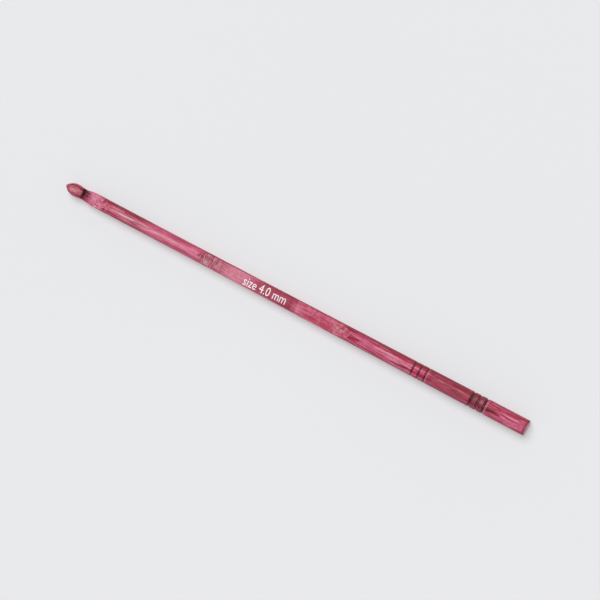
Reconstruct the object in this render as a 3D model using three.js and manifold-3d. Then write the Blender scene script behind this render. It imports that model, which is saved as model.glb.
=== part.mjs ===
// Crochet hook, 4.0 mm gauge, turned and milled from a billet of dyed birch veneers.
//
// Millimetres. +X runs from the tip to the butt and +Z is up, out of the mouth and the
// thumb rest. The hook lies on the plane z = 0 with its origin under the middle of its box.
// In the code, u is the distance from the tip along the hook.
//
// The body is one turned blank with a throat and a thumb rest milled into it. It is then
// parted into the veneers that it is laminated from. Each milled cut or groove that goes
// right through a veneer leaves it in separate pieces, and each piece is a node.

import * as THREE from 'three';
import { mergeVertices } from 'three/addons/utils/BufferGeometryUtils.js';
import Module from 'manifold-3d';

const wasm = await Module();
wasm.setup();

// ---------------------------------------------------------------- driving dimensions

const LENGTH = 152.4;
const SIDES = 28;

// turned profile: radii, and where along the hook they hold
const HEAD_RADIUS = 1.88;
const OGIVE_LENGTH = 3.5;
const OGIVE_POWER = 2.1;
const OGIVE_ROUNDING = 0.85;
const HEAD_END = 3.9;
const NECK_RADIUS = 1.6;
const NECK_AT = 6.4;
const GAUGE_RADIUS = 2.0;
const GAUGE_FROM = 9.8;
const GAUGE_TO = 54.0;
const BUTT_RADIUS = 2.28;
const BUTT_FROM = 145.0;
const BUTT_EDGE = 0.3;

// turned decoration: three fine lines, then three wider grooves with beads between them
const LINES = { at: [117.0, 119.0, 121.0], halfWidth: 0.24, depth: 0.1 };
const BEADS = { at: [135.3, 137.4, 139.4], halfWidth: 0.4, depth: 0.18 };

// throat: a lip that leans over it, a small fillet, a short floor and a hollow ramp
const LIP_AT = 6.3;
const LIP_LEAN = THREE.MathUtils.degToRad(36);
const THROAT_FLOOR = 0.22; // above the hook's axis
const THROAT_FILLET = 0.5;
const RAMP_FROM = 7.8;
const RAMP_RADIUS = 19.5;

// thumb rest: a level flat that runs out through the crown in an arc at each end
const REST_HEIGHT = 3.06; // above the table
const REST_FROM = 51.2;
const REST_TO = 91.3;
const REST_RUNOUT = 12.6;

// lamination: the veneers lie flat under the thumb rest, with the gentle wave of real wood
const PLY_THICKNESS = 0.51;
const PLY_COUNT = 11;
const TOP_GLUE_LINE = 4.313; // height of the highest glue line, before bow and wave
const GLUE_LINE = 0.03;
const PLY_STEP = 5.0;
const BOW = { gain: 2.8e-5, centre: 75.0 };
const WAVE = { size: 0.17, fullSizeAt: 110.0, crest: 112.2, length: 40.0 };
const SMALLEST_PIECE = 0.01; // cubic mm; a shaving thinner than this is sanded away

const CUTTER_WIDTH = 8.0;
const CLEAR = 1.0;

const COLOURS = {
  crimson: 0x8e2740,
  rose: 0xc4607c,
  pink: 0xcf7d92,
  magenta: 0xb8436e,
};
const PLY_COLOURS = ['crimson', 'magenta', 'rose', 'crimson', 'pink', 'crimson', 'rose',
  'magenta', 'pink', 'crimson', 'rose'];

// ---------------------------------------------------------------- shape of the hook

const smooth = (from, to, u) => THREE.MathUtils.smoothstep(u, from, to);
const between = (a, b, t) => a + (b - a) * t;

// The hook rests on its gauge and its butt, so its axis rises gently towards the butt.
const FACET = Math.cos(Math.PI / SIDES);
const AXIS_SLOPE = (FACET * (BUTT_RADIUS - GAUGE_RADIUS)) / (BUTT_FROM - GAUGE_FROM);

function axisHeight(u) {
  return FACET * GAUGE_RADIUS + AXIS_SLOPE * (u - GAUGE_FROM);
}

function ogiveRadius(u) {
  const left = Math.pow(1 - u / OGIVE_LENGTH, OGIVE_POWER);
  return HEAD_RADIUS * Math.pow(1 - left, OGIVE_ROUNDING);
}

function shaftRadius(u) {
  if (u < NECK_AT) return between(HEAD_RADIUS, NECK_RADIUS, smooth(HEAD_END, NECK_AT, u));
  if (u < GAUGE_FROM) return between(NECK_RADIUS, GAUGE_RADIUS, smooth(NECK_AT, GAUGE_FROM, u));
  const taper = THREE.MathUtils.clamp((u - GAUGE_TO) / (BUTT_FROM - GAUGE_TO), 0, 1);
  return between(GAUGE_RADIUS, BUTT_RADIUS, taper);
}

// The outline of each groove: its edges on the shaft and a rounded bottom.
function groovePoints({ at, halfWidth, depth }) {
  const section = [[-1, 0], [-0.45, 0.75], [0, 1], [0.45, 0.75], [1, 0]];
  return at.flatMap((centre) => section.map(([along, down]) => {
    const u = centre + along * halfWidth;
    return new THREE.Vector2(shaftRadius(u) - down * depth, u);
  }));
}

function profilePoints() {
  const points = [new THREE.Vector2(0, 0)];
  for (const share of [0.02, 0.07, 0.16, 0.3, 0.48, 0.7, 1]) {
    const u = share * OGIVE_LENGTH;
    points.push(new THREE.Vector2(ogiveRadius(u), u));
  }
  const stations = [HEAD_END, 4.7, 5.5, NECK_AT, 7.3, 8.1, 8.9, GAUGE_FROM, 32, GAUGE_TO, 75, 96];
  for (const u of stations) points.push(new THREE.Vector2(shaftRadius(u), u));
  points.push(...groovePoints(LINES), ...groovePoints(BEADS));
  points.push(new THREE.Vector2(BUTT_RADIUS, BUTT_FROM));
  for (const turn of [0, 0.5, 1]) {
    const angle = turn * Math.PI / 2;
    const radius = BUTT_RADIUS - BUTT_EDGE * (1 - Math.cos(angle));
    points.push(new THREE.Vector2(radius, LENGTH - BUTT_EDGE * (1 - Math.sin(angle))));
  }
  points.push(new THREE.Vector2(0, LENGTH));
  return points;
}

// ---------------------------------------------------------------- solids

function toSolid(geometry) {
  geometry.deleteAttribute('normal');
  geometry.deleteAttribute('uv');
  const merged = mergeVertices(geometry, 1e-4);
  return new wasm.Manifold(new wasm.Mesh({
    numProp: 3,
    vertProperties: new Float32Array(merged.attributes.position.array),
    triVerts: new Uint32Array(merged.index.array),
  }));
}

function toGeometry(solid) {
  const mesh = solid.getMesh();
  const geometry = new THREE.BufferGeometry();
  geometry.setAttribute('position', new THREE.BufferAttribute(mesh.vertProperties, 3));
  geometry.setIndex(new THREE.BufferAttribute(mesh.triVerts, 1));
  return geometry;
}

// A blank turned about its own axis, then laid down so that it rests on the table.
function turnedBlank() {
  const half = Math.PI / SIDES;
  const geometry = new THREE.LatheGeometry(profilePoints(), SIDES, half, 2 * Math.PI);
  geometry.rotateZ(-Math.PI / 2);
  geometry.rotateY(-Math.atan(AXIS_SLOPE));
  geometry.translate(0, 0, axisHeight(0));
  return toSolid(geometry);
}

// A side view drawn in u and height, swept right across the hook.
function acrossHook(shape) {
  const geometry = new THREE.ExtrudeGeometry(shape, {
    depth: CUTTER_WIDTH, bevelEnabled: false, curveSegments: 10,
  });
  geometry.rotateX(Math.PI / 2);
  geometry.translate(0, CUTTER_WIDTH / 2, 0);
  return toSolid(geometry);
}

function throatCutter() {
  const floor = axisHeight(LIP_AT) + THROAT_FLOOR;
  const lipTop = axisHeight(LIP_AT) + shaftRadius(LIP_AT);
  const over = lipTop + CLEAR;
  const filletHeight = floor + THROAT_FILLET;
  const filletAt = LIP_AT
    + (THROAT_FILLET - (lipTop - filletHeight) * Math.sin(LIP_LEAN)) / Math.cos(LIP_LEAN);
  const rampTurn = Math.acos(1 - (over - floor) / RAMP_RADIUS);
  const shape = new THREE.Shape();
  shape.absarc(filletAt, filletHeight, THROAT_FILLET, Math.PI - LIP_LEAN, Math.PI * 1.5, false);
  shape.absarc(RAMP_FROM, floor + RAMP_RADIUS, RAMP_RADIUS,
    -Math.PI / 2, -Math.PI / 2 + rampTurn, false);
  shape.lineTo(LIP_AT + (over - lipTop) * Math.tan(LIP_LEAN), over);
  shape.closePath();
  return acrossHook(shape);
}

function restCutter() {
  const turn = Math.acos(1 - (2 * BUTT_RADIUS + CLEAR - REST_HEIGHT) / REST_RUNOUT);
  const centre = REST_HEIGHT + REST_RUNOUT;
  const shape = new THREE.Shape();
  shape.absarc(REST_FROM, centre, REST_RUNOUT, -Math.PI / 2 - turn, -Math.PI / 2, false);
  shape.absarc(REST_TO, centre, REST_RUNOUT, -Math.PI / 2, -Math.PI / 2 + turn, false);
  shape.closePath();
  return acrossHook(shape);
}

// ---------------------------------------------------------------- lamination

// How far the veneers lie above their nominal height at u.
function plyRise(u) {
  const size = WAVE.size * (u / WAVE.fullSizeAt) ** 2;
  const wave = size * Math.cos((2 * Math.PI * (u - WAVE.crest)) / WAVE.length);
  return BOW.gain * (u - BOW.centre) ** 2 + wave;
}

// Height at u of the glue line above veneer number ply, which counts from 1 at the top.
function glueLine(ply, u) {
  return TOP_GLUE_LINE - (ply - 2) * PLY_THICKNESS + plyRise(u);
}

function veneer(ply) {
  const outermost = ply === 1 ? CLEAR * 2 : 0;
  const under = [];
  const over = [];
  for (let u = -PLY_STEP; u <= LENGTH + PLY_STEP; u += PLY_STEP) {
    under.push(new THREE.Vector2(u, glueLine(ply + 1, u) + GLUE_LINE / 2));
    over.unshift(new THREE.Vector2(u, glueLine(ply, u) - GLUE_LINE / 2 + outermost));
  }
  return acrossHook(new THREE.Shape([...under, ...over]));
}

// Where a veneer is cut through, its pieces are told apart by the place they end up in.
const PLACES = {
  1: ['rest_end', 'band', 'butt_tongue'],
  2: ['gauge', 'butt'],
  3: ['head', 'gauge', 'butt'],
  4: ['head', 'shaft'],
  5: ['head', 'shaft'],
  10: ['head', 'shaft', 'bead', 'butt'],
};

const plyName = (ply) => `ply_${String(ply).padStart(2, '0')}`;

function veneerPieces(body, ply) {
  const pieces = body.intersect(veneer(ply)).decompose()
    .filter((piece) => piece.volume() > SMALLEST_PIECE)
    .sort((a, b) => a.boundingBox().min[0] - b.boundingBox().min[0]);
  const places = PLACES[ply] ?? [];
  if (pieces.length !== Math.max(places.length, 1)) {
    throw new Error(`${plyName(ply)} comes out in ${pieces.length} pieces`);
  }
  return pieces.map((solid, i) => ({
    name: places.length ? `${plyName(ply)}_${places[i]}` : plyName(ply),
    solid,
  }));
}

// ---------------------------------------------------------------- the hook

const hook = new THREE.Group();
hook.position.x = -LENGTH / 2;

const body = turnedBlank().subtract(throatCutter()).subtract(restCutter());
for (let ply = 1; ply <= PLY_COUNT; ply += 1) {
  for (const { name, solid } of veneerPieces(body, ply)) {
    const material = new THREE.MeshStandardMaterial({
      color: COLOURS[PLY_COLOURS[ply - 1]], roughness: 0.35, metalness: 0,
    });
    const mesh = new THREE.Mesh(toGeometry(solid), material);
    mesh.name = name;
    hook.add(mesh);
  }
}

export default hook;
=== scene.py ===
"""Crochet hook, 4.0 mm gauge, laminated from dyed birch veneers: its looks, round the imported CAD.

Shapes are worked out in millimetres and written in metres. u is the distance from the tip along
the hook, and heights are above the table. Every visible piece is one veneer, or the part of one
that a milled cut or a turned groove has left, and stands for the CAD node of the same name.
"""

import math
from functools import cached_property

import bmesh
import bpy
import numpy as np
from mathutils import Matrix, Vector


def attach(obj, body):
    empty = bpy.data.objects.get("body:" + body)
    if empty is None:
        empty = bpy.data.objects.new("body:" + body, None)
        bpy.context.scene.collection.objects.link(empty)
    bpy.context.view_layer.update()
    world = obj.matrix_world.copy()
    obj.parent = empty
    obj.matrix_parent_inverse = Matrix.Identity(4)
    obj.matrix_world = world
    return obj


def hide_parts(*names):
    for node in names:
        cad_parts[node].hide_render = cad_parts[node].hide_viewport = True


MM = 0.001

# ---------------------------------------------------------------- dimensions, in millimetres

LENGTH = 152.4
CAD_SIDES = 28
ROUND = 1 / math.cos(math.pi / CAD_SIDES)  # the CAD rod lies on a flat, so a round one is taller

HEAD_RADIUS = 1.88
OGIVE_LENGTH = 3.5
OGIVE_POWER = 2.1
OGIVE_ROUNDING = 0.85
HEAD_END = 3.9
NECK_RADIUS = 1.6
NECK_AT = 6.4
GAUGE_RADIUS = 2.0
GAUGE_FROM = 9.8
GAUGE_TO = 54.0
BUTT_RADIUS = 2.28
BUTT_FROM = 145.0
BUTT_EDGE = 0.3

LINES = {"at": (117.0, 119.0, 121.0), "half_width": 0.24, "depth": 0.1}
# 0.02 deeper than in the CAD, whose wider glue lines let its last groove part the top veneer
BEADS = {"at": (135.3, 137.4, 139.4), "half_width": 0.4, "depth": 0.2}
GROOVE_POWER = 2.6  # the higher, the steeper a groove's sides

LIP_AT = 6.3
LIP_LEAN = math.radians(36)
LIP_BLEND = 1.4  # how far before the lip the sections start to lean
THROAT_FLOOR = 0.22  # above the axis
THROAT_FILLET = 0.5
RAMP_FROM = 7.8
RAMP_RADIUS = 19.5

REST_HEIGHT = 3.06 * ROUND
REST_FROM = 51.2
REST_TO = 91.3
REST_RUNOUT = 12.6
CHATTER = {
    "pitch": 0.9, "depth": 0.010,
    "wander": ((0.22, 0.83, 0.0), (0.17, 2.1, 1.0)),  # waves of (size, turn per mm, start)
    "swell": (0.55, 0.45, 0.37, 0.6),  # middle, size, turn per mm and start
    "fades_in": (47.5, 50.5), "fades_out": (92, 95),
}

PLY_THICKNESS = 0.51 * ROUND
PLY_COUNT = 11
TOP_GLUE_LINE = 4.313 * ROUND
GLUE_LINE = 0.016  # as wide as it looks; the CAD leaves 0.03
# the glue lines' gentle bow along the hook, and their wave towards the butt
BOW = {"gain": 2.8e-5 * ROUND, "centre": 75.0}
WAVE = {"size": 0.17 * ROUND, "full_size_at": 110.0, "crest": 112.2, "length": 40.0}
THINNEST = 0.002
SHORTEST_PIECE = 0.6
HAIR = 1e-6
FIRST_HEAD_PLY = 3  # the highest veneer that reaches the head
LAST_PARTED_PLY = 5  # the lowest veneer that the throat parts

# where the sections are taken
OGIVE_STATIONS, BUTT_EDGE_STATIONS, GROOVE_STATIONS = 40, 8, 25
STATION_STEPS = ((12, 0.07), (46, 0.3), (98, 0.1), (LENGTH - BUTT_EDGE, 0.3))  # (as far as, step)
PAST_GROOVE = 1.04  # groove stations reach this many half widths
END_STATIONS = (0, 0.0008, 0.004, 0.012, 0.03, 0.06)  # from each end of a piece
HALVINGS = 40

# the pieces that the cuts and grooves leave of a veneer, from the tip
PLACES = {
    1: ("rest_end", "band", "butt_tongue"),
    2: ("gauge", "butt"),
    3: ("head", "gauge", "butt"),
    4: ("head", "shaft"),
    5: ("head", "shaft"),
    10: ("head", "shaft", "bead", "butt"),
}
PLY_COLOURS = ("crimson", "magenta", "rose", "crimson", "pink", "crimson", "rose",
               "magenta", "pink", "crimson", "rose")

ALL_CUT, NO_CUT = -1.0, 99.0  # heights of a cut that leaves nothing, and of none

# ---------------------------------------------------------------- the shape of the hook

def smooth(low, high, u):
    t = np.clip((u - low) / (high - low), 0, 1)
    return t * t * (3 - 2 * t)


def axis_height(u):
    slope = (BUTT_RADIUS - GAUGE_RADIUS) / (BUTT_FROM - GAUGE_FROM)
    return GAUGE_RADIUS + slope * (u - GAUGE_FROM)


def shaft_radius(u):
    left = np.clip(1 - u / OGIVE_LENGTH, 0, 1) ** OGIVE_POWER
    ogive = HEAD_RADIUS * (1 - left) ** OGIVE_ROUNDING
    neck = HEAD_RADIUS + (NECK_RADIUS - HEAD_RADIUS) * smooth(HEAD_END, NECK_AT, u)
    shoulder = NECK_RADIUS + (GAUGE_RADIUS - NECK_RADIUS) * smooth(NECK_AT, GAUGE_FROM, u)
    taper = np.clip((u - GAUGE_TO) / (BUTT_FROM - GAUGE_TO), 0, 1)
    body = GAUGE_RADIUS + (BUTT_RADIUS - GAUGE_RADIUS) * taper
    return np.select([u < OGIVE_LENGTH, u < NECK_AT, u < GAUGE_FROM], [ogive, neck, shoulder], body)


def groove_depth(u, grooves):
    depth = np.zeros_like(u)
    for at in grooves["at"]:
        across = np.clip(np.abs(u - at) / grooves["half_width"], 0, 1)
        depth = np.maximum(depth, grooves["depth"] * (1 - across ** GROOVE_POWER))
    return depth


def radius(u):
    """The turned surface, with its fine lines, its bead grooves and the eased butt edge."""
    turned = shaft_radius(u) - groove_depth(u, LINES) - groove_depth(u, BEADS)
    into_edge = np.clip(u - (LENGTH - BUTT_EDGE), 0, BUTT_EDGE)
    return turned - BUTT_EDGE + np.sqrt(BUTT_EDGE ** 2 - into_edge ** 2)


def rest_height(u):
    """The thumb rest: level, running out through the crown in an arc at each end."""
    past = np.maximum(np.maximum(REST_FROM - u, u - REST_TO), 0)
    rise = REST_RUNOUT - np.sqrt(np.maximum(REST_RUNOUT ** 2 - past ** 2, 0))
    return np.where(past < REST_RUNOUT, REST_HEIGHT + rise, NO_CUT)


def throat_floor():
    return float(axis_height(LIP_AT)) + THROAT_FLOOR * ROUND


def lip_top():
    return float(axis_height(LIP_AT) + shaft_radius(np.array(LIP_AT)))


def fillet_centre():
    """(u, height) of the axis of the round bottom of the throat, which touches the lip."""
    height = throat_floor() + THROAT_FILLET
    lean = THROAT_FILLET - (lip_top() - height) * math.sin(LIP_LEAN)
    return LIP_AT + lean / math.cos(LIP_LEAN), height


def throat_height(u):
    """Upper face of what the throat leaves standing: fillet, short floor and hollow ramp."""
    at, height = fillet_centre()
    fillet = height - np.sqrt(np.maximum(THROAT_FILLET ** 2 - (u - at) ** 2, 0))
    past = np.clip(u - RAMP_FROM, 0, RAMP_RADIUS)
    ramp = throat_floor() + RAMP_RADIUS - np.sqrt(RAMP_RADIUS ** 2 - past ** 2)
    cut = np.where(u < at, fillet, ramp)
    return np.where(u > at - THROAT_FILLET, cut, NO_CUT)


def lip_reach(height):
    """How far the leaning lip and its fillet reach towards the butt at a height."""
    at, centre = fillet_centre()
    lean = LIP_AT + (height - lip_top()) * math.tan(LIP_LEAN)
    fillet = at - np.sqrt(np.maximum(THROAT_FILLET ** 2 - (height - centre) ** 2, 0))
    touch = centre + THROAT_FILLET * math.sin(math.pi - LIP_LEAN)
    return np.where(height > touch, lean, fillet)


def chatter(u):
    """Depth of the cutter's scallops along the thumb rest."""
    wander = sum(size * np.sin(u * turn + start) for size, turn, start in CHATTER["wander"])
    phase = u / CHATTER["pitch"] + wander
    middle, size, turn, start = CHATTER["swell"]
    strength = middle + size * np.sin(u * turn + start)
    on_rest = smooth(*CHATTER["fades_in"], u) * (1 - smooth(*CHATTER["fades_out"], u))
    return CHATTER["depth"] * strength * on_rest * (1 - np.abs(np.sin(math.pi * phase)))


# ---------------------------------------------------------------- the veneers

def glue_line(ply, u):
    """Height of the glue line above veneer number ply, which counts from 1 at the top."""
    size = WAVE["size"] * (u / WAVE["full_size_at"]) ** 2
    wave = size * np.cos(2 * math.pi * (u - WAVE["crest"]) / WAVE["length"])
    bow = BOW["gain"] * (u - BOW["centre"]) ** 2
    return TOP_GLUE_LINE - (ply - 2) * PLY_THICKNESS + bow + wave


def stations():
    """Where the sections are taken: closer together where the shape turns quickly."""
    turn = np.linspace(0, math.pi / 2, OGIVE_STATIONS)
    marks = [OGIVE_LENGTH * (1 - np.cos(turn)),
             LENGTH - BUTT_EDGE * (1 - np.sin(turn[::OGIVE_STATIONS // BUTT_EDGE_STATIONS]))]
    start = OGIVE_LENGTH
    for end, step in STATION_STEPS:
        marks.append(np.arange(start, end, step))
        start = end
    for grooves in (LINES, BEADS):
        for at in grooves["at"]:
            across = np.linspace(-PAST_GROOVE, PAST_GROOVE, GROOVE_STATIONS)
            marks.append(at + grooves["half_width"] * across)
    return np.unique(np.round(np.concatenate(marks), 5))


def slab(ply, u, cut):
    """Lowest and highest height of a veneer at u, under a cut surface."""
    low = np.maximum(glue_line(ply + 1, u) + GLUE_LINE / 2, axis_height(u) - radius(u))
    over = NO_CUT if ply == 1 else glue_line(ply, u) - GLUE_LINE / 2
    high = np.minimum(np.minimum(over, axis_height(u) + radius(u)), cut)
    return low, high


def cut_surface(ply, head):
    """The milled height as a function of u, for the head or for all behind it."""
    if head:
        return lambda u: np.full_like(u, NO_CUT)
    if ply > LAST_PARTED_PLY:
        return lambda u: np.minimum(throat_height(u), rest_height(u))
    return lambda u: np.where(u > LIP_AT, np.minimum(throat_height(u), rest_height(u)), ALL_CUT)


def edge_of(ply, cut, inside, outside):
    """Where a veneer begins or ends between two stations, found by halving."""
    for _ in range(HALVINGS):
        middle = (inside + outside) / 2
        low, high = slab(ply, np.array([middle]), cut(np.array([middle])))
        if high[0] > low[0]:
            inside = middle
        else:
            outside = middle
    return inside


def runs(there):
    """(first, last) of each unbroken run of True in a row of booleans."""
    edges = np.flatnonzero(np.diff(np.concatenate([[0], there.astype(int), [0]])))
    return list(zip(edges[::2], edges[1::2] - 1))


def spans(ply, cut, last):
    """The stretches of the hook where a veneer exists, each as the stations of its sections."""
    grid = stations()
    grid = grid[grid <= last]
    low, high = slab(ply, grid, cut(grid))
    found = []
    for first, end in runs(high > low):
        start, stop = grid[first], grid[end]
        if first > 0:
            start = edge_of(ply, cut, start, grid[first - 1])
        if end < len(grid) - 1:
            stop = edge_of(ply, cut, stop, grid[end + 1])
        near_end = np.array(END_STATIONS)
        marks = np.concatenate([grid[first:end + 1], start + near_end, stop - near_end])
        marks = marks[(marks >= start) & (marks <= stop)]
        if stop - start > SHORTEST_PIECE:
            found.append(np.unique(np.round(marks, 6)))
    return found


def veneer_spans(ply):
    """(name, stations, cut surface, whether it ends at the lip) of each piece of a veneer."""
    pieces = []
    if FIRST_HEAD_PLY <= ply <= LAST_PARTED_PLY:
        cut = cut_surface(ply, True)
        pieces += [(marks, cut, True) for marks in spans(ply, cut, LIP_AT)]
    cut = cut_surface(ply, False)
    pieces += [(marks, cut, False) for marks in spans(ply, cut, LENGTH)]
    places = PLACES.get(ply, (None,))
    name = f"ply_{ply:02d}"
    if len(pieces) != len(places):
        ends = [(round(m[0], 2), round(m[-1], 2)) for m, _, _ in pieces]
        raise ValueError(f"{name} comes out in {len(pieces)} pieces: {ends}")
    return [(f"{name}_{place}" if place else name, *piece) for place, piece in zip(places, pieces)]


def sections(ply, u, cut, at_lip, across):
    """Right-hand side of every section, from its bottom to its top, as arrays (u, y, height)."""
    low, high = slab(ply, u, cut(u))
    milled = high >= cut(u) - HAIR
    high = np.where(milled, np.maximum(high - chatter(u), low + THINNEST), high)
    axis, r = axis_height(u), np.maximum(radius(u), HAIR)
    bottom = np.arcsin(np.clip((low - axis) / r, -1, 1))
    top = np.arcsin(np.clip((high - axis) / r, -1, 1))
    share = np.linspace(0, 1, across)
    turn = bottom[:, None] + (top - bottom)[:, None] * share[None, :]
    height = axis[:, None] + r[:, None] * np.sin(turn)
    height[:, 0], height[:, -1] = low, high
    along = np.repeat(u[:, None], across, axis=1)
    if at_lip:
        start = LIP_AT - LIP_BLEND
        lean = np.clip((along - start) / LIP_BLEND, 0, 1)
        along = np.where(along > start, start + lean * (lip_reach(height) - start), along)
    half = np.sqrt(np.maximum(radius(along) ** 2 - (height - axis_height(along)) ** 2, 0))
    return along, half, height


TURNED, MILLED, END = 0, 1, 2  # the kinds of face, each with a material of its own
FINE_ACROSS, COARSE_ACROSS = 30, 12  # points on each side of a section
WELD = 2e-7  # metres


def side_faces(bm, verts, across):
    """The skin. A section goes up one side and down the other, with a flat from side to side."""
    columns = len(verts[0])
    flats = (across - 1, columns - 1)
    for one, other in zip(verts, verts[1:]):
        for j in range(columns):
            k = (j + 1) % columns
            face = bm.faces.new((one[j], other[j], other[k], one[k]))
            face.material_index = MILLED if j in flats else TURNED
            face.smooth = True


def end_faces(bm, ring, across, kind, turned_over):
    """A strip from side to side that closes one end of the skin."""
    for j in range(across - 1):
        k = len(ring) - 1 - j
        corners = (ring[j], ring[j + 1], ring[k - 1], ring[k])
        face = bm.faces.new(corners[::-1] if turned_over else corners)
        face.material_index = kind
        face.smooth = True


def finish_mesh(bm):
    """Welded, facing outwards, and sharp where two kinds of face meet."""
    bmesh.ops.remove_doubles(bm, verts=bm.verts, dist=WELD)
    bmesh.ops.dissolve_degenerate(bm, dist=WELD, edges=bm.edges)
    bmesh.ops.recalc_face_normals(bm, faces=bm.faces)
    for edge in bm.edges:
        edge.smooth = len({face.material_index for face in edge.link_faces}) == 1


def veneer_mesh(name, ply, u, cut, at_lip):
    """A closed loft through the sections; its faces know if they were turned or milled."""
    wide_skin = ply <= 2 or ply >= PLY_COUNT - 1
    across = FINE_ACROSS if wide_skin else COARSE_ACROSS
    along, half, height = sections(ply, u, cut, at_lip, across)
    x = along - LENGTH / 2
    right = np.stack([x, -half, height], -1)
    left = np.stack([x, half, height], -1)[:, ::-1]
    bm = bmesh.new()
    verts = [[bm.verts.new(point) for point in row]
             for row in np.concatenate([right, left], 1) * MM]
    side_faces(bm, verts, across)
    end_faces(bm, verts[0], across, END, False)
    end_faces(bm, verts[-1], across, MILLED if at_lip else END, True)
    finish_mesh(bm)
    mesh = bpy.data.meshes.new(name)
    bm.to_mesh(mesh)
    bm.free()
    piece = bpy.data.objects.new(name + "_veneer", mesh)
    bpy.context.collection.objects.link(piece)
    return piece


# ---------------------------------------------------------------- colours and patterns

VENEERS = {
    # name: (main colour, dark streaks, pale streaks, its ring on the head)
    "crimson": ("a01b39", "600617", "bc4563", "a02238"),
    "magenta": ("be2f58", "7c0e30", "da7d9c", "be2f58"),
    "rose": ("ba3858", "78102c", "d78499", "b4485c"),
    "pink": ("c44f68", "861d37", "e09aa8", "c47880"),
}
HEAD_RING = ((5.4, 0.8), (6.6, 0.0))
MILLED_AS = {"crimson": "rose"}  # milling takes the deepest dye off
END_GRAIN, END_GRAIN_SHARE = "e0c0c2", 0.75
PALE_MARKS, DARK_MARKS = "d79aa8", "8c2c48"
INK, WORN_INK = "f4eeee", "c88c9a"

PATTERNS = {
    # name: (scale along, across and up per mm, detail, roughness, distortion)
    "fibres": ((0.16, 2.1, 2.1), 3.0, 0.62, 0.25),
    "pores": ((0.9, 6.0, 6.0), 2.0, 0.5, 0.0),
    "flames": ((0.13, 0.62, 0.62), 3.0, 0.55, 0.5),
    "cutter marks": ((2.4, 0.5, 0.5), 4.0, 0.65, 0.2),
    "throat burn and shade edge": ((0.9, 0.7, 0.7), 2.0, 0.5, 0.0),
    "bead specks": ((2.4, 3.6, 3.6), 2.0, 0.6, 0.0),
    # the ragged edge of the throat's darkening, which is partly milling burn and partly painted
    # shade
    "end pores": ((3.0, 9.0, 9.0), 3.0, 0.6, 0.0),
    "ink specks": ((6.0, 9.0, 9.0), 3.0, 0.6, 0.0),
    "floor clouds": ((0.004, 0.004, 0.004), 2.0, 0.5, 0.0),
}
PLY_OFFSET = (7.3, 3.1, 5.7)  # how far each veneer's grain is moved from the last one's
# where the pattern for the ragged edge of the throat's burn and painted shade starts
THROAT_BURN_AND_SHADE_AT = (0.0, 0.0, 4.0)
THROAT_BURN_AND_SHADE_REACH = -2.4  # how far the ragged edge of the throat's burn and painted shade moves along the hook, in mm
FLAME_OUTLINES = 13.0  # outlines for each unit of the flames' pattern

CURVES = {
    # name: stops of (pattern, level)
    "dark flames": ((0.36, 0.6), (0.47, 0.0)),
    "pale flames": ((0.52, 0.0), (0.66, 0.6)),
    "dark fibres": ((0.39, 0.9), (0.47, 0.0)),
    "pale fibres": ((0.53, 0.0), (0.61, 0.9)),
    "flame outlines": ((0.0, 0.55), (0.13, 0.0)),
    "open pores": ((0.36, 0.6), (0.46, 0.0)),
    "worn fibres": ((0.4, 0.35), (0.55, 1.0)),
    "pale streaks": ((0.42, 0.15), (0.56, 1.0)),
    "pale specks": ((0.5, 0.0), (0.62, 0.4)),
    "dark specks": ((0.38, 0.5), (0.5, 0.0)),
    "pale marks": ((0.52, 0.0), (0.66, 0.4)),
    "dark marks": ((0.36, 0.4), (0.46, 0.0)),
    "scuffs": ((0.46, 0.0), (0.6, 1.0)),
    "end pores": ((0.35, 0.7), (0.55, 0.0)),
    "pale end grain": ((0.55, 0.0), (0.75, 0.5)),
    "worn ink": ((0.34, 0.55), (0.46, 0.0)),
    "lacquer roughness": ((0.3, 0.55), (0.7, 0.42)),
    "sanded roughness": ((0.3, 0.66), (0.7, 0.52)),
    "bare roughness": ((0.3, 0.7), (0.7, 0.5)),
}
BAND_CORE = 0.4  # the share of a band that is at its full level
SPECULAR = {"turned": 0.3, "milled": 0.25, "floor": 0.1}
COAT = {"weight": 0.06, "roughness": 0.25}
# (strength, distance in mm)
BUMPS = {"turned": (0.35, 0.02), "milled": (0.5, 0.03), "end": (0.5, 0.03), "ink": (0.3, 0.01)}


def bands(grooves, width, level):
    """Stops that rise to a level at each groove and are 0 between them."""
    core = width * BAND_CORE
    stops = []
    for at in grooves["at"]:
        stops += [(at - width, 0), (at - core, level), (at + core, level), (at + width, 0)]
    return tuple(stops)


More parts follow.
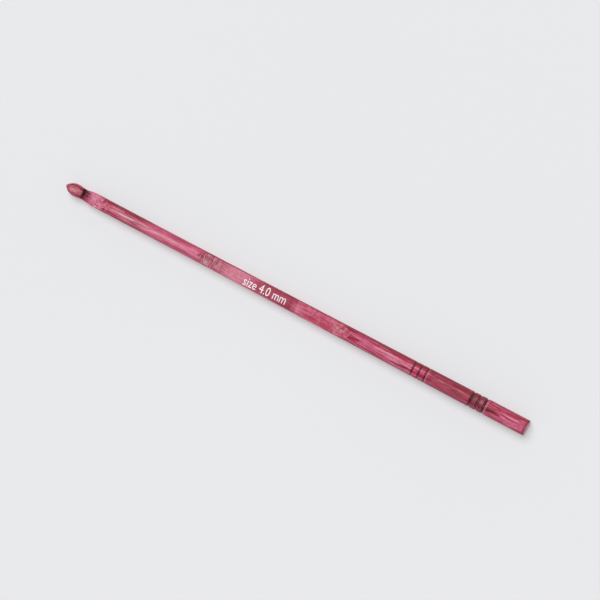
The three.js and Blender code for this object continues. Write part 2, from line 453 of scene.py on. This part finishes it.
# Tints are laid on in this order. Each is a colour, how strong it is along the hook as stops
# of (u, level), and how it changes across the hook: a name in ACROSS and its distances in mm.
TURNED_TINTS = {
    "worn crown": ("dcaab4", ((1, 0), (2, 0.35), (5.5, 0.35), (6.2, 0), (15, 0), (20, 0.75),
                              (30, 0.7), (40, 0.65), (46, 0.35), (60, 0)), ("crown", 1.0)),
    "bright patch": ("cc5a8c", ((99.5, 0), (101.5, 0.4), (104, 0.25), (106, 0)), ("crown", 2.4)),
    "pale lower half": ("dc98aa", ((101, 0), (105, 0.45), (116.4, 0.45), (116.8, 0), (121.8, 0),
                                   (124, 0.2), (133, 0.2), (135, 0)), ("crown", 1.7, -0.5)),
    "butt tongue": ("6a0c22", ((139.8, 0), (140.2, 0.6), (141.8, 0.5), (144.2, 0)),
                    ("crown", 1.9, -0.2)),
    "dark flanks": ("740c22", ((121.9, 0), (122.6, 0.6), (133, 0.6), (134.4, 0.3), (135, 0.6),
                               (139.4, 0.5), (139.7, 0)), ("sides", 1.5)),
    "fresh pink": ("d8688c", ((27, 0), (31, 0.35), (46, 0.3), (50, 0), (144, 0), (146.5, 0.1),
                              (151, 0.1)), None),
    "stained beads": ("5a0c20", ((134.4, 0), (135.2, 0.35), (139.2, 0.35), (139.6, 0)), None),
    # painted shade: the fine turned lines are darkened in their hollows
    "line dye": ("30040f", bands(LINES, 0.36, 0.92), None),
    # painted shade: the bead grooves are darkened in their hollows
    "groove dye": ("24030b", bands(BEADS, 0.55, 0.95), None),
    "pale bead specks": ("c4707e", ((135.6, 0), (135.9, 1), (138.9, 1), (139.2, 0)), None),
    "dark bead specks": ("4c0a1a", ((135.6, 0), (135.9, 1), (138.9, 1), (139.2, 0)), None),
    # painted highlight: a thin pale line on the rim just past the last fine line and the last bead
    # groove
    "pale rims": ("d8a0a8", ((121.25, 0), (121.4, 0.4), (121.6, 0.2), (121.8, 0), (139.75, 0),
                             (139.95, 0.45), (140.2, 0.15), (140.4, 0)), None),
    "butt edge": ("7a1024", ((151.5, 0), (151.9, 0.7), (152.3, 0.5)), None),
    # painted shade: the upper flank of the hook is darkened
    "upper flank": ("74081f", ((6, 0.3), (16, 0.9), (27, 0.8), (31, 0.3), (46, 0.3), (60, 0.2),
                               (92, 0.3), (100, 0.6), (134, 0.65), (142, 0.3), (151, 0.35)),
                    ("flank", 0.6, 1.9)),
    # painted light: the lower flank of the hook is lightened along the gauge and the thumb rest
    "lower flank": ("d06080", ((26, 0.3), (31, 0.6), (52, 0.8), (90, 0.8), (96, 0.3)),
                    ("flank", -0.8, -2.1)),
}
MILLED_TINTS = {
    "sanded rest": ("b84c68", ((58, 0), (64, 0.35), (95, 0.35), (98, 0)), None),
    "greyed rest": ("8a4a5c", ((46.4, 0), (48.5, 0.35), (53, 0.35), (58, 0)), None),
    "scraped rest": ("dc92a6", ((52, 0), (57, 0.4), (62, 0.45), (66, 0.1), (78.9, 0),
                                (79.2, 0.25), (82, 0)), None),
    "stained rest": ("842438", ((61, 0), (68, 0.45), (75.8, 0.6), (76.8, 0.75), (78.2, 0.25),
                                (79.2, 0)), None),
    "scuffed ends": ("e6dcd2", ((46.4, 0), (47.5, 0.5), (52, 0.35), (55, 0), (90, 0), (91, 0.12),
                                (96, 0.2), (97, 0)), ("crown", 3.0)),
    "clean ramp": ("e292ae", ((7.6, 0), (9.2, 0.5), (10.5, 0.5), (10.8, 0.25), (12.5, 0.12),
                              (14, 0)), ("fading", -0.8, -2.0, 1.0)),
    # partly burn from the milling, partly painted shade in the throat hollow; less of it towards the
    # lower side
    "throat dye": ("3a0612", ((4, 1), (5.2, 0.97), (6.2, 0.6), (7.6, 0)),
                   ("fading", 0.1, -1.6, 0.8)),
}


def linear(code):
    """Linear RGBA of a hexadecimal sRGB colour."""
    parts = [int(code[i:i + 2], 16) / 255 for i in (0, 2, 4)]
    return tuple(c / 12.92 if c <= 0.04045 else ((c + 0.055) / 1.055) ** 2.4 for c in parts) + (1,)


# ---------------------------------------------------------------- materials

class Shader:
    """A material's node tree, with short calls for the nodes that the recipes use."""

    def __init__(self, name):
        self.material = bpy.data.materials.new(name)
        self.material.use_nodes = True
        self.tree = self.material.node_tree
        self.tree.nodes.clear()
        out = self.tree.nodes.new("ShaderNodeOutputMaterial")
        self.bsdf = self.tree.nodes.new("ShaderNodeBsdfPrincipled")
        self.tree.links.new(self.bsdf.outputs[0], out.inputs[0])
        self.place = self.tree.nodes.new("ShaderNodeTexCoord").outputs["Object"]

    def link(self, value, socket):
        if isinstance(value, bpy.types.NodeSocket):
            self.tree.links.new(value, socket)
        else:
            socket.default_value = value

    def set(self, name, value):
        """Gives the surface shader's own socket a constant or a pattern."""
        self.link(value, self.bsdf.inputs[name])

    def math(self, operation, a, b=0.0, clamp=False):
        node = self.tree.nodes.new("ShaderNodeMath")
        node.operation = operation
        node.use_clamp = clamp
        self.link(a, node.inputs[0])
        self.link(b, node.inputs[1])
        return node.outputs[0]

    def pattern(self, name, offset=(0, 0, 0)):
        """One of the noise patterns, in the hook's own millimetres."""
        scale, detail, roughness, distortion = PATTERNS[name]
        place = self.tree.nodes.new("ShaderNodeMapping")
        place.inputs["Scale"].default_value = [s / MM for s in scale]
        place.inputs["Location"].default_value = offset
        self.link(self.place, place.inputs["Vector"])
        noise = self.tree.nodes.new("ShaderNodeTexNoise")
        self.link(place.outputs[0], noise.inputs["Vector"])
        noise.inputs["Scale"].default_value = 1.0
        noise.inputs["Detail"].default_value = detail
        noise.inputs["Roughness"].default_value = roughness
        noise.inputs["Distortion"].default_value = distortion
        return noise.outputs[0]

    def ramp(self, value, stops):
        """A piecewise linear curve of one number: stops are (place, level)."""
        node = self.tree.nodes.new("ShaderNodeValToRGB")
        points = node.color_ramp.elements
        points.remove(points[1])
        (points[0].position, first), *others = stops
        points[0].color = (first, first, first, 1)
        for at, level in others:
            points.new(at).color = (level, level, level, 1)
        self.link(value, node.inputs[0])
        return node.outputs[0]

    def curve(self, value, name):
        return self.ramp(value, CURVES[name])

    def mix(self, share, a, b):
        node = self.tree.nodes.new("ShaderNodeMix")
        node.data_type = "RGBA"
        self.link(share, node.inputs[0])
        self.link(a, node.inputs[6])
        self.link(b, node.inputs[7])
        return node.outputs[2]

    @cached_property
    def split(self):
        node = self.tree.nodes.new("ShaderNodeSeparateXYZ")
        self.link(self.place, node.inputs[0])
        return node.outputs

    @cached_property
    def u(self):
        """Distance from the tip, in mm."""
        return self.math("ADD", self.math("DIVIDE", self.split["X"], MM), LENGTH / 2)

    def profile(self, stops, u=None):
        """A level that changes along the hook: stops are (u in mm, level)."""
        first, last = stops[0][0], stops[-1][0]
        node = self.tree.nodes.new("ShaderNodeMapRange")
        self.link(u or self.u, node.inputs["Value"])
        node.inputs["From Min"].default_value = first
        node.inputs["From Max"].default_value = last
        return self.ramp(node.outputs[0],
                         [((at - first) / (last - first), level) for at, level in stops])

    def bump(self, height, name):
        strength, distance = BUMPS[name]
        node = self.tree.nodes.new("ShaderNodeBump")
        node.inputs["Strength"].default_value = strength
        node.inputs["Distance"].default_value = distance * MM
        self.link(height, node.inputs["Height"])
        self.set("Normal", node.outputs[0])


def flank(shader, from_y, to_y):
    """0 at one distance across the hook and 1 at another, in mm."""
    span = to_y - from_y
    share = shader.math("DIVIDE", shader.split["Y"], span * MM)
    return shader.math("SUBTRACT", share, from_y / span, clamp=True)


def fading(shader, from_y, to_y, amount):
    """1 at one distance across the hook, and less by an amount at another."""
    loss = shader.math("MULTIPLY", flank(shader, from_y, to_y), amount)
    return shader.math("SUBTRACT", 1.0, loss)


def crown(shader, half_width, centre=0.0):
    """1 along one line of the top, fading out at half_width mm to each side of it."""
    from_centre = shader.math("SUBTRACT", shader.split["Y"], centre * MM)
    away = shader.math("ABSOLUTE", shader.math("DIVIDE", from_centre, half_width * MM))
    return shader.math("SUBTRACT", 1.0, away, clamp=True)


def sides(shader, half_width):
    """0 along the middle of the top, and 1 from half_width mm to each side of it."""
    return shader.math("SUBTRACT", 1.0, crown(shader, half_width))


ACROSS = {"flank": flank, "fading": fading, "crown": crown, "sides": sides}


def lay_tints(shader, colour, tints, textures, reach):
    """The tints in turn, each broken up by its texture and run along its own reach, if any."""
    for name, (code, stops, across) in tints.items():
        share = shader.profile(stops, reach.get(name))
        if across:
            share = shader.math("MULTIPLY", share, ACROSS[across[0]](shader, *across[1:]))
        if name in textures:
            share = shader.math("MULTIPLY", share, textures[name])
        colour = shader.mix(share, colour, linear(code))
    return colour


def veneer_colour(shader, kind, ply):
    """The dyed wood, with its fibres, pores and flames; the fibres and pores are returned for other
    uses.
    """
    main, dark, pale, ring = (linear(code) for code in VENEERS[kind])
    offset = [ply * step for step in PLY_OFFSET]
    fibres, pores, flames = (shader.pattern(name, offset) for name in ("fibres", "pores", "flames"))
    outlines = shader.math("PINGPONG", shader.math("MULTIPLY", flames, FLAME_OUTLINES), 0.5)
    colour = shader.mix(shader.profile(HEAD_RING), main, ring)
    layers = ((flames, "dark flames", dark), (flames, "pale flames", pale),
              (fibres, "dark fibres", dark), (fibres, "pale fibres", pale),
              (outlines, "flame outlines", dark), (pores, "open pores", dark))
    for pattern, curve, shade in layers:
        colour = shader.mix(shader.curve(pattern, curve), colour, shade)
    return colour, fibres, pores


def turned_material(kind, ply):
    """A turned and dyed surface with a thin satin lacquer; its tints also hold painted shade in the
    grooves and on the upper flank, painted light on the lower flank and painted highlights on two
    rims.
    """
    shader = Shader(f"{kind}_turned_{ply:02d}")
    colour, fibres, pores = veneer_colour(shader, kind, ply)
    specks = shader.pattern("bead specks")
    textures = {
        "worn crown": shader.curve(fibres, "worn fibres"),
        "pale lower half": shader.curve(fibres, "pale streaks"),
        "pale bead specks": shader.curve(specks, "pale specks"),
        "dark bead specks": shader.curve(specks, "dark specks"),
    }
    shader.set("Base Color", lay_tints(shader, colour, TURNED_TINTS, textures, {}))
    shader.set("Roughness", shader.curve(fibres, "lacquer roughness"))
    shader.set("Specular IOR Level", SPECULAR["turned"])
    shader.set("Coat Weight", COAT["weight"])
    shader.set("Coat Roughness", COAT["roughness"])
    shader.bump(shader.math("ADD", fibres, pores), "turned")
    return shader.material


def milled_material(kind, ply):
    """A milled surface: the same wood, sanded matt, scuffed pale at the ends of the rest, and
    darkened in the throat by burn and painted shade.
    """
    shader = Shader(f"{kind}_milled_{ply:02d}")
    colour, _, pores = veneer_colour(shader, MILLED_AS.get(kind, kind), ply)
    marks = shader.pattern("cutter marks", (ply, 0, 0))
    colour = shader.mix(shader.curve(marks, "pale marks"), colour, linear(PALE_MARKS))
    colour = shader.mix(shader.curve(marks, "dark marks"), colour, linear(DARK_MARKS))
    # the throat's burn and painted shade, with a ragged edge along the hook
    stain = shader.pattern("throat burn and shade edge", THROAT_BURN_AND_SHADE_AT)
    ragged = shader.math("ADD", shader.u, shader.math("MULTIPLY", stain, THROAT_BURN_AND_SHADE_REACH))
    textures = {"scuffed ends": shader.curve(marks, "scuffs")}
    colour = lay_tints(shader, colour, MILLED_TINTS, textures, {"throat dye": ragged})
    shader.set("Base Color", colour)
    shader.set("Roughness", shader.curve(pores, "sanded roughness"))
    shader.set("Specular IOR Level", SPECULAR["milled"])
    shader.bump(shader.math("ADD", marks, pores), "milled")
    return shader.material


def end_material(kind, ply):
    """End grain: paler and duller, with the pores seen end on."""
    shader = Shader(f"{kind}_end_{ply:02d}")
    main, dark, pale, _ = (linear(code) for code in VENEERS[kind])
    pores = shader.pattern("end pores", (ply, 0, 0))
    colour = shader.mix(END_GRAIN_SHARE, main, linear(END_GRAIN))
    colour = shader.mix(shader.curve(pores, "end pores"), colour, dark)
    colour = shader.mix(shader.curve(pores, "pale end grain"), colour, pale)
    shader.set("Base Color", colour)
    shader.set("Roughness", shader.curve(pores, "bare roughness"))
    shader.bump(pores, "end")
    return shader.material


def ink_material():
    """White printing ink, thin enough for the wood to show through its worn specks."""
    shader = Shader("white_ink")
    specks = shader.pattern("ink specks")
    worn = shader.curve(specks, "worn ink")
    shader.set("Base Color", shader.mix(worn, linear(INK), linear(WORN_INK)))
    shader.set("Roughness", shader.curve(specks, "bare roughness"))
    shader.bump(specks, "ink")
    return shader.material


# ---------------------------------------------------------------- pieces

def add_veneers():
    for ply in range(1, PLY_COUNT + 1):
        kind = PLY_COLOURS[ply - 1]
        finishes = [make(kind, ply) for make in (turned_material, milled_material, end_material)]
        for name, marks, cut, at_lip in veneer_spans(ply):
            piece = veneer_mesh(name, ply, marks, cut, at_lip)
            for finish in finishes:
                piece.data.materials.append(finish)
            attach(piece, "root")
            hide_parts(name)


SIZE_MARK = {"text": "size 4.0 mm", "from": 61.8, "to": 75.5, "height": 2.55,
             "turn": math.radians(1.5), "proud": 0.006, "thickness": 0.012}


def text_mesh(text):
    """The letters as one flat mesh."""
    curve = bpy.data.curves.new("size_mark", "FONT")
    curve.body = text
    curve.align_x = "CENTER"
    curve.align_y = "CENTER"
    letters = bpy.data.objects.new("size_mark_letters", curve)
    bpy.context.collection.objects.link(letters)
    bpy.context.view_layer.update()
    evaluated = letters.evaluated_get(bpy.context.evaluated_depsgraph_get())
    mesh = bpy.data.meshes.new_from_object(evaluated)
    bpy.data.objects.remove(letters)
    return mesh


def lay_on_rest(mesh):
    """Stretches the letters to their size and lays them on the thumb rest."""
    points = np.array([v.co[:] for v in mesh.vertices])
    low, high = points.min(0), points.max(0)
    centred = (points - (low + high) / 2) / (high - low + [0, 0, 1])
    along = centred[:, 0] * (SIZE_MARK["to"] - SIZE_MARK["from"])
    across = centred[:, 1] * SIZE_MARK["height"]
    cos, sin = math.cos(SIZE_MARK["turn"]), math.sin(SIZE_MARK["turn"])
    middle = (SIZE_MARK["from"] + SIZE_MARK["to"]) / 2 - LENGTH / 2
    height = REST_HEIGHT + SIZE_MARK["proud"]
    for vertex, a, b in zip(mesh.vertices, along, across):
        place = Vector((middle + a * cos - b * sin, a * sin + b * cos, height))
        vertex.co = place * MM
    mesh.update()


def add_size_mark():
    """The gauge in plain white figures on the thumb rest."""
    mesh = text_mesh(SIZE_MARK["text"])
    lay_on_rest(mesh)
    mesh.materials.clear()
    mesh.materials.append(ink_material())
    piece = bpy.data.objects.new("size_mark", mesh)
    bpy.context.collection.objects.link(piece)
    body = piece.modifiers.new("ink", "SOLIDIFY")
    body.thickness = SIZE_MARK["thickness"] * MM
    body.offset = -1
    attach(piece, "root")


# ---------------------------------------------------------------- floor, light and camera

FLOOR = {"half": 40.0, "darker": (0.48, 0.485, 0.495, 1), "lighter": (0.50, 0.503, 0.51, 1),
         "glow": (0.80, 0.81, 0.82, 1), "glow_strength": 0.36, "roughness": 0.9}
SUNS = {
    # name: (strength, degrees from the zenith, direction in degrees from +X, spread)
    "softbox": (2.35, 25, 118, 44),
    "fill": (0.2, 40, -62, 60),
}
SKY = ((0.25, (0.80, 0.815, 0.83, 1)), (0.55, (0.24, 0.242, 0.245, 1)))  # horizon, overhead
CAMERA = {"lean": 15.5, "side": 5.4, "distance": 590.0, "middle": 2.1, "aim": (2.63, 2.13),
          "roll": 27.776, "view_angle": 16.3225, "clip_metres": (0.01, 100)}


def floor_material():
    """Pale card that gives off part of its light, so that the shadow on it stays soft."""
    shader = Shader("pale_floor")
    clouds = shader.pattern("floor clouds")
    shader.set("Base Color", shader.mix(clouds, FLOOR["darker"], FLOOR["lighter"]))
    shader.set("Emission Color", FLOOR["glow"])
    shader.set("Emission Strength", FLOOR["glow_strength"])
    shader.set("Roughness", FLOOR["roughness"])
    shader.set("Specular IOR Level", SPECULAR["floor"])
    return shader.material


def add_floor():
    half = FLOOR["half"]
    mesh = bpy.data.meshes.new("floor")
    mesh.from_pydata([(-half, -half, 0), (half, -half, 0), (half, half, 0), (-half, half, 0)],
                     [], [(0, 1, 2, 3)])
    mesh.materials.append(floor_material())
    floor = bpy.data.objects.new("floor", mesh)
    bpy.context.collection.objects.link(floor)


def add_sun(name, strength, zenith, towards, spread):
    """A soft distant lamp."""
    lamp = bpy.data.lights.new(name, "SUN")
    lamp.energy = strength
    lamp.angle = math.radians(spread)
    sun = bpy.data.objects.new(name, lamp)
    bpy.context.collection.objects.link(sun)
    rise, turn = math.radians(90 - zenith), math.radians(towards)
    level = math.cos(rise)
    to_lamp = Vector((math.cos(turn) * level, math.sin(turn) * level, math.sin(rise)))
    sun.rotation_euler = to_lamp.to_track_quat("Z", "Y").to_euler()


def add_light():
    """A plain studio: bright near the horizon and darker overhead, with two soft lamps."""
    world = bpy.data.worlds.new("studio")
    bpy.context.scene.world = world
    world.use_nodes = True
    tree = world.node_tree
    tree.nodes.clear()
    out = tree.nodes.new("ShaderNodeOutputWorld")
    background = tree.nodes.new("ShaderNodeBackground")
    direction = tree.nodes.new("ShaderNodeTexCoord")
    split = tree.nodes.new("ShaderNodeSeparateXYZ")
    ramp = tree.nodes.new("ShaderNodeValToRGB")
    tree.links.new(direction.outputs["Generated"], split.inputs[0])
    tree.links.new(split.outputs["Z"], ramp.inputs[0])
    tree.links.new(ramp.outputs[0], background.inputs[0])
    tree.links.new(background.outputs[0], out.inputs[0])
    for end, (height, colour) in zip(ramp.color_ramp.elements, SKY):
        end.position, end.color = height, colour
    for name, settings in SUNS.items():
        add_sun(name, *settings)


def add_camera():
    """The camera stands over the hook, leaning towards its butt, turned so the tip is upper left."""
    lean, side, roll = (math.radians(CAMERA[name]) for name in ("lean", "side", "roll"))
    middle = Vector((0, 0, CAMERA["middle"]))
    towards = Vector((math.sin(lean), math.cos(lean) * math.sin(side),
                      math.cos(lean) * math.cos(side)))
    place = middle + CAMERA["distance"] * towards
    ahead = (Vector((*CAMERA["aim"], CAMERA["middle"])) - place).normalized()
    along = (Vector((1, 0, 0)) - ahead.x * ahead).normalized()
    across = along.cross(ahead).normalized()
    right = math.cos(roll) * along + math.sin(roll) * across
    up = -math.sin(roll) * along + math.cos(roll) * across
    camera = bpy.data.objects.new("camera", bpy.data.cameras.new("camera"))
    bpy.context.collection.objects.link(camera)
    camera.matrix_world = Matrix((right, up, -ahead)).transposed().to_4x4()
    camera.location = place * MM
    camera.data.angle = math.radians(CAMERA["view_angle"])
    camera.data.clip_start, camera.data.clip_end = CAMERA["clip_metres"]
    bpy.context.scene.camera = camera


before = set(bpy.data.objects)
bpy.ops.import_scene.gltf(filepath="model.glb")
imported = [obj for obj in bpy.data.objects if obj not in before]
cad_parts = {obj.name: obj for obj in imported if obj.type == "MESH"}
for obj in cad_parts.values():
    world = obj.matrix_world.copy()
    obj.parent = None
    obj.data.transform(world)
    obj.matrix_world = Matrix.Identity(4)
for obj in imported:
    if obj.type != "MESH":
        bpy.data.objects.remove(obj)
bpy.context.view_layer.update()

add_camera()
add_light()
add_floor()
add_veneers()
add_size_mark()
bpy.context.scene.view_settings.view_transform = "Standard"
